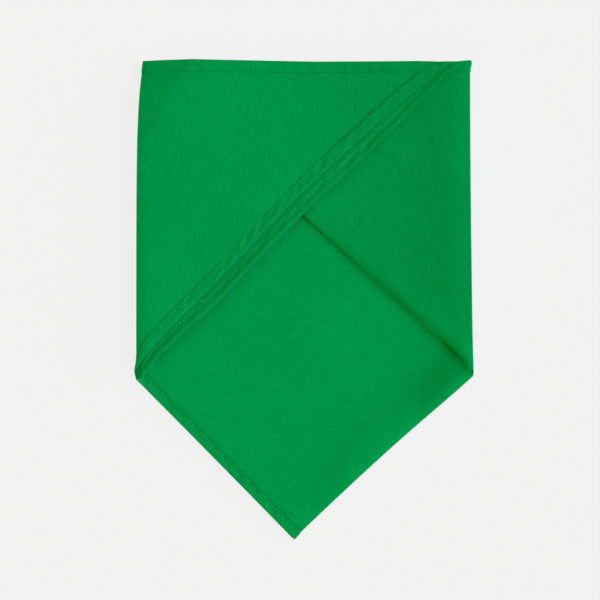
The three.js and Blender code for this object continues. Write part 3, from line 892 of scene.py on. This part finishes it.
class NECKERCHIEF_OT_leg_hems(Operator):
    """Turn the hems of the two legs, which lie along the top edge"""
    bl_idname = "neckerchief.leg_hems"
    bl_label = "Leg hems"

    def execute(self, context):
        scene = context.scene
        plan = fold_plan(scene.neckerchief_sizes)
        for side, name in ((BACK, "back"), (FRONT, "front")):
            end = pointed_end(plan, side, -0.3, plan.rise[side])
            parts, ats = columns_between(plan, [0.0], [end, end], corner_end(plan, -0.3),
                                         LEG_COLUMN, LEG_TURNS)

            def limits(own, flat):
                line = np.where(flat < 0, beside_hem(plan, own, flat, plan.rise[own]) + LEG_GAP,
                                centre_fold(plan, flat))
                return np.zeros_like(flat), np.maximum(-plan.hem, line)

            place, normal, grain, marks, cells = layer_sheet(
                plan, (side,), parts, {side: ats[side]}, limits, np.array(HEM_ROWS[::-1]) / HEM_ROWS[0])
            across = -marks[..., 1]
            wave = leg_wave(marks[..., 0]) * fade(across, 0, HEM_WAVE_START)
            plain, turned = hem_faces(plan, across, wave, 0.0, LEG_TAPER)
            # where it runs round the right fold the thick hem stands out
            standing = bell(plan.right_edge - place[..., 0], 3.5) * bell(place[..., 1] + 2.2, 2.6)
            place[..., 0] += LEG_STAND * standing
            piece = wall_mesh("leg_hem_" + name, plan, place, normal, grain, cells, plain, turned)
            dress(piece, poplin(plan, scene.neckerchief_colours), ["hem_leg_" + name])
        return {"FINISHED"}


def flat_to_part(plan, side, flat):
    """Part of the packet and the place in it, from the distance on the opened layer."""
    left, right = plan.left_x, plan.right_x
    run = plan.left_run[side]
    parts = np.select([flat < left - run, flat < left, flat <= right, flat < right + plan.turn_run],
                      [LEFT_FLAP, LEFT_BEND, MIDDLE, RIGHT_BEND], RIGHT_FLAP)
    ats = np.select([parts == LEFT_FLAP, parts == LEFT_BEND, parts == MIDDLE, parts == RIGHT_BEND],
                    [2 * left - run - flat, (left - flat) / run * math.pi, flat,
                     (flat - right) / plan.turn_run * math.pi], 2 * right + plan.turn_run - flat)
    return parts, ats


def seam_points(plan, side, flat, height_at, faces_at):
    """Points of a row of stitches on the plain face and on the turned face of a hem."""
    y = height_at(flat)
    parts, ats = flat_to_part(plan, side, flat)
    place, normal = frame_at(plan, side, parts, ats, y[:, None])
    place, normal = place[:, 0], normal[:, 0] * (1 if side == BACK else -1)
    plain, turned = faces_at(flat, y, place[:, 0])
    return place + normal * plain[:, None], place - normal * turned[:, None], normal, parts


def seam(plan, side, start, stop, height_at, faces_at):
    """Start, end and outward direction of every stitch between two places on the opened layer."""
    count = int((stop - start) / plan.stitch)
    middle = start + (np.arange(count) + 0.5) * plan.stitch
    reach = STITCH_SHARE / 2 * plan.stitch
    ends = [seam_points(plan, side, middle + step * reach, height_at, faces_at) for step in (-1, 1)]
    # none is drawn right on a fold, where it would stand off the cloth
    flat_lying = (ends[0][3] == ends[1][3]) & (ends[0][3] != LEFT_BEND) & (ends[0][3] != RIGHT_BEND)
    rows = []
    for face, sign in ((0, 1), (1, -1)):
        rows.append((ends[0][face][flat_lying], ends[1][face][flat_lying], sign * ends[0][2][flat_lying]))
    return [np.concatenate(group) for group in zip(*rows)]


def stitch_mesh(name, plan, starts, stops, outward):
    """One mesh of short thread pieces, each a closed tube that dips into the cloth at both ends."""
    along = stops - starts
    size = np.linalg.norm(along, axis=1, keepdims=True)
    along = along / size
    sideways = np.cross(along, outward)
    sideways /= np.linalg.norm(sideways, axis=1, keepdims=True)
    upward = np.cross(sideways, along)
    angles = np.arange(STITCH_SIDES) * 2 * math.pi / STITCH_SIDES
    turn = [kind(angles)[None, :, None] for kind in (np.cos, np.sin)]
    rings, grains = [], []
    for share, thick, high in STITCH_RINGS:
        centre = starts + (stops - starts) * share + upward * high
        radius = plan.thread / 2 * thick
        ring = centre[:, None] + radius * (turn[0] * sideways[:, None] + turn[1] * upward[:, None])
        rings.append(ring)
        around = np.broadcast_to(angles[None, :], ring.shape[:2])
        grains.append(np.stack([around, share * size + 0 * around], axis=-1))
    points = np.stack(rings, axis=1).reshape(-1, 3)
    grain = np.stack(grains, axis=1).reshape(-1, 2)
    first = (np.arange(len(starts)) * len(STITCH_RINGS) * STITCH_SIDES)[:, None]
    faces = []
    for ring in range(len(STITCH_RINGS) - 1):
        for k in range(STITCH_SIDES):
            a, b = ring * STITCH_SIDES + k, ring * STITCH_SIDES + (k + 1) % STITCH_SIDES
            faces.append(first + np.array([[a, b, b + STITCH_SIDES, a + STITCH_SIDES]]))
    last = (len(STITCH_RINGS) - 1) * STITCH_SIDES
    for base, order in ((0, (0, 3, 2, 1)), (0, (0, 5, 4, 3)), (last, (0, 1, 2, 3)), (last, (0, 3, 4, 5))):
        faces.append(first + base + np.array([order]))
    return make_mesh(name, plan, points, np.concatenate(faces), grain)


class NECKERCHIEF_OT_stitches(Operator):
    """Sew the three hems with a row of lockstitch"""
    bl_idname = "neckerchief.stitches"
    bl_label = "Stitches"

    def execute(self, context):
        scene = context.scene
        plan = fold_plan(scene.neckerchief_sizes)
        inset = plan.stitch_inset
        long_rows, leg_rows = [], []
        for side in (BACK, FRONT):
            above = inset / math.cos(plan.lean[side])

            def long_height(flat):
                return beside_hem(plan, side, flat, above)

            def long_faces(flat, y, x):
                marks = np.stack([flat, y, np.full_like(flat, side)], axis=-1)
                across = np.full_like(flat, inset)
                return hem_faces(plan, across, *hem_bend(plan, marks, x, across), 0.0)

            def leg_height(flat):
                return np.full_like(flat, -inset)

            def leg_faces(flat, y, x):
                return hem_faces(plan, np.full_like(flat, inset), leg_wave(flat), 0.0, LEG_TAPER)

            start = left_flap_flat(plan, side, pointed_end(plan, side, -SEAM_END, above))
            long_rows.append(seam(plan, side, start, SEAM_STOP, long_height, long_faces))
            start = left_flap_flat(plan, side, pointed_end(plan, side, -inset - SEAM_END, plan.rise[side]))
            stop = 2 * plan.right_x + plan.turn_run - corner_end(plan, -inset - 0.5)[1]
            leg_rows.append(seam(plan, side, start, stop, leg_height, leg_faces))
        sewn = {"stitches_long": [np.concatenate(group) for group in zip(*long_rows)],
                "stitches_back": leg_rows[BACK], "stitches_front": leg_rows[FRONT]}
        pieces = [bpy.data.objects[name] for name in ("long_hem", "leg_hem_back", "leg_hem_front")]
        for name, (starts, stops, outward) in sewn.items():
            piece = stitch_mesh(name, plan, starts, stops, outward)
            dress(piece, spun_thread(scene.neckerchief_colours), [])
            pieces.append(piece)
        return {"FINISHED"}


class NECKERCHIEF_OT_stage(Operator):
    """Set the pale floor, the soft light and the camera straight above"""
    bl_idname = "neckerchief.stage"
    bl_label = "Stage"

    def execute(self, context):
        scene = context.scene
        lay_floor(scene)
        set_light(scene)
        set_camera(scene)
        return {"FINISHED"}


def lay_floor(scene):
    size = 6.0
    mesh = bpy.data.meshes.new("floor")
    corners = [(-size, -size, 0), (size, -size, 0), (size, size, 0), (-size, size, 0)]
    mesh.from_pydata(corners, [], [(0, 1, 2, 3)])
    floor = bpy.data.objects.new("floor", mesh)
    scene.collection.objects.link(floor)
    # matt white acrylic sheet, lit a little from behind, so that it stays pale beside the cloth
    material = bpy.data.materials.new("matt acrylic sheet")
    material.use_nodes = True
    surface = material.node_tree.nodes["Principled BSDF"]
    surface.inputs["Base Color"].default_value = (0.06, 0.06, 0.06, 1)
    surface.inputs["Roughness"].default_value = 0.9
    surface.inputs["Specular IOR Level"].default_value = 0.0
    surface.inputs["Emission Color"].default_value = (*scene.neckerchief_colours.floor, 1)
    surface.inputs["Emission Strength"].default_value = 0.93
    mesh.materials.append(material)


def set_light(scene):
    world = bpy.data.worlds.new("studio")
    scene.world = world
    world.use_nodes = True
    backdrop = world.node_tree.nodes["Background"]
    backdrop.inputs["Color"].default_value = (1, 1, 0.2, 1)
    backdrop.inputs["Strength"].default_value = 0.41
    lamp = bpy.data.lights.new("wide window", "SUN")
    lamp.angle = math.radians(44)
    lamp.energy = 4.95
    lamp.color = (1, 1, 1.5)
    key = bpy.data.objects.new("wide window", lamp)
    # it stands low to the right, so that shallow folds show
    height, bearing = math.radians(21), math.radians(4)
    key.rotation_euler = (0, math.radians(90) - height, bearing)
    scene.collection.objects.link(key)
    scene.view_settings.view_transform = "Standard"


def set_camera(scene):
    seen, height = 0.432, 0.004  # width that the photograph shows, and the height at which it is that wide
    lens, sensor = 135.0, 36.0
    centre = (-0.00353, 0.00043)
    data = bpy.data.cameras.new("camera")
    data.lens = lens
    data.sensor_width = sensor
    data.clip_end = 20.0
    camera = bpy.data.objects.new("camera", data)
    camera.location = (*centre, height + seen * lens / sensor)
    scene.collection.objects.link(camera)
    scene.camera = camera


class NECKERCHIEF_PT_panel(Panel):
    """Sizes, colours and pieces of the neckerchief"""
    bl_idname = "NECKERCHIEF_PT_panel"
    bl_label = "Folded Neckerchief"
    bl_space_type = "VIEW_3D"
    bl_region_type = "UI"
    bl_category = "Neckerchief"

    def draw(self, context):
        for group in (context.scene.neckerchief_sizes, context.scene.neckerchief_colours):
            box = self.layout.box()
            for name in type(group).__annotations__:
                box.prop(group, name)
        for piece in OPERATORS:
            self.layout.operator(piece.bl_idname)


OPERATORS = (NECKERCHIEF_OT_stage, NECKERCHIEF_OT_cloth, NECKERCHIEF_OT_long_hem, NECKERCHIEF_OT_leg_hems,
             NECKERCHIEF_OT_stitches)
CLASSES = (NeckerchiefSizes, NeckerchiefColours, *OPERATORS, NECKERCHIEF_PT_panel)


def register():
    for cls in CLASSES:
        bpy.utils.register_class(cls)
    bpy.types.Scene.neckerchief_sizes = PointerProperty(type=NeckerchiefSizes)
    bpy.types.Scene.neckerchief_colours = PointerProperty(type=NeckerchiefColours)


def unregister():
    del bpy.types.Scene.neckerchief_colours
    del bpy.types.Scene.neckerchief_sizes
    for cls in reversed(CLASSES):
        bpy.utils.unregister_class(cls)


def main():
    register()
    bpy.ops.neckerchief.stage()
    bpy.ops.neckerchief.cloth()
    bpy.ops.neckerchief.long_hem()
    bpy.ops.neckerchief.leg_hems()
    bpy.ops.neckerchief.stitches()


if __name__ == "__main__":
    main()
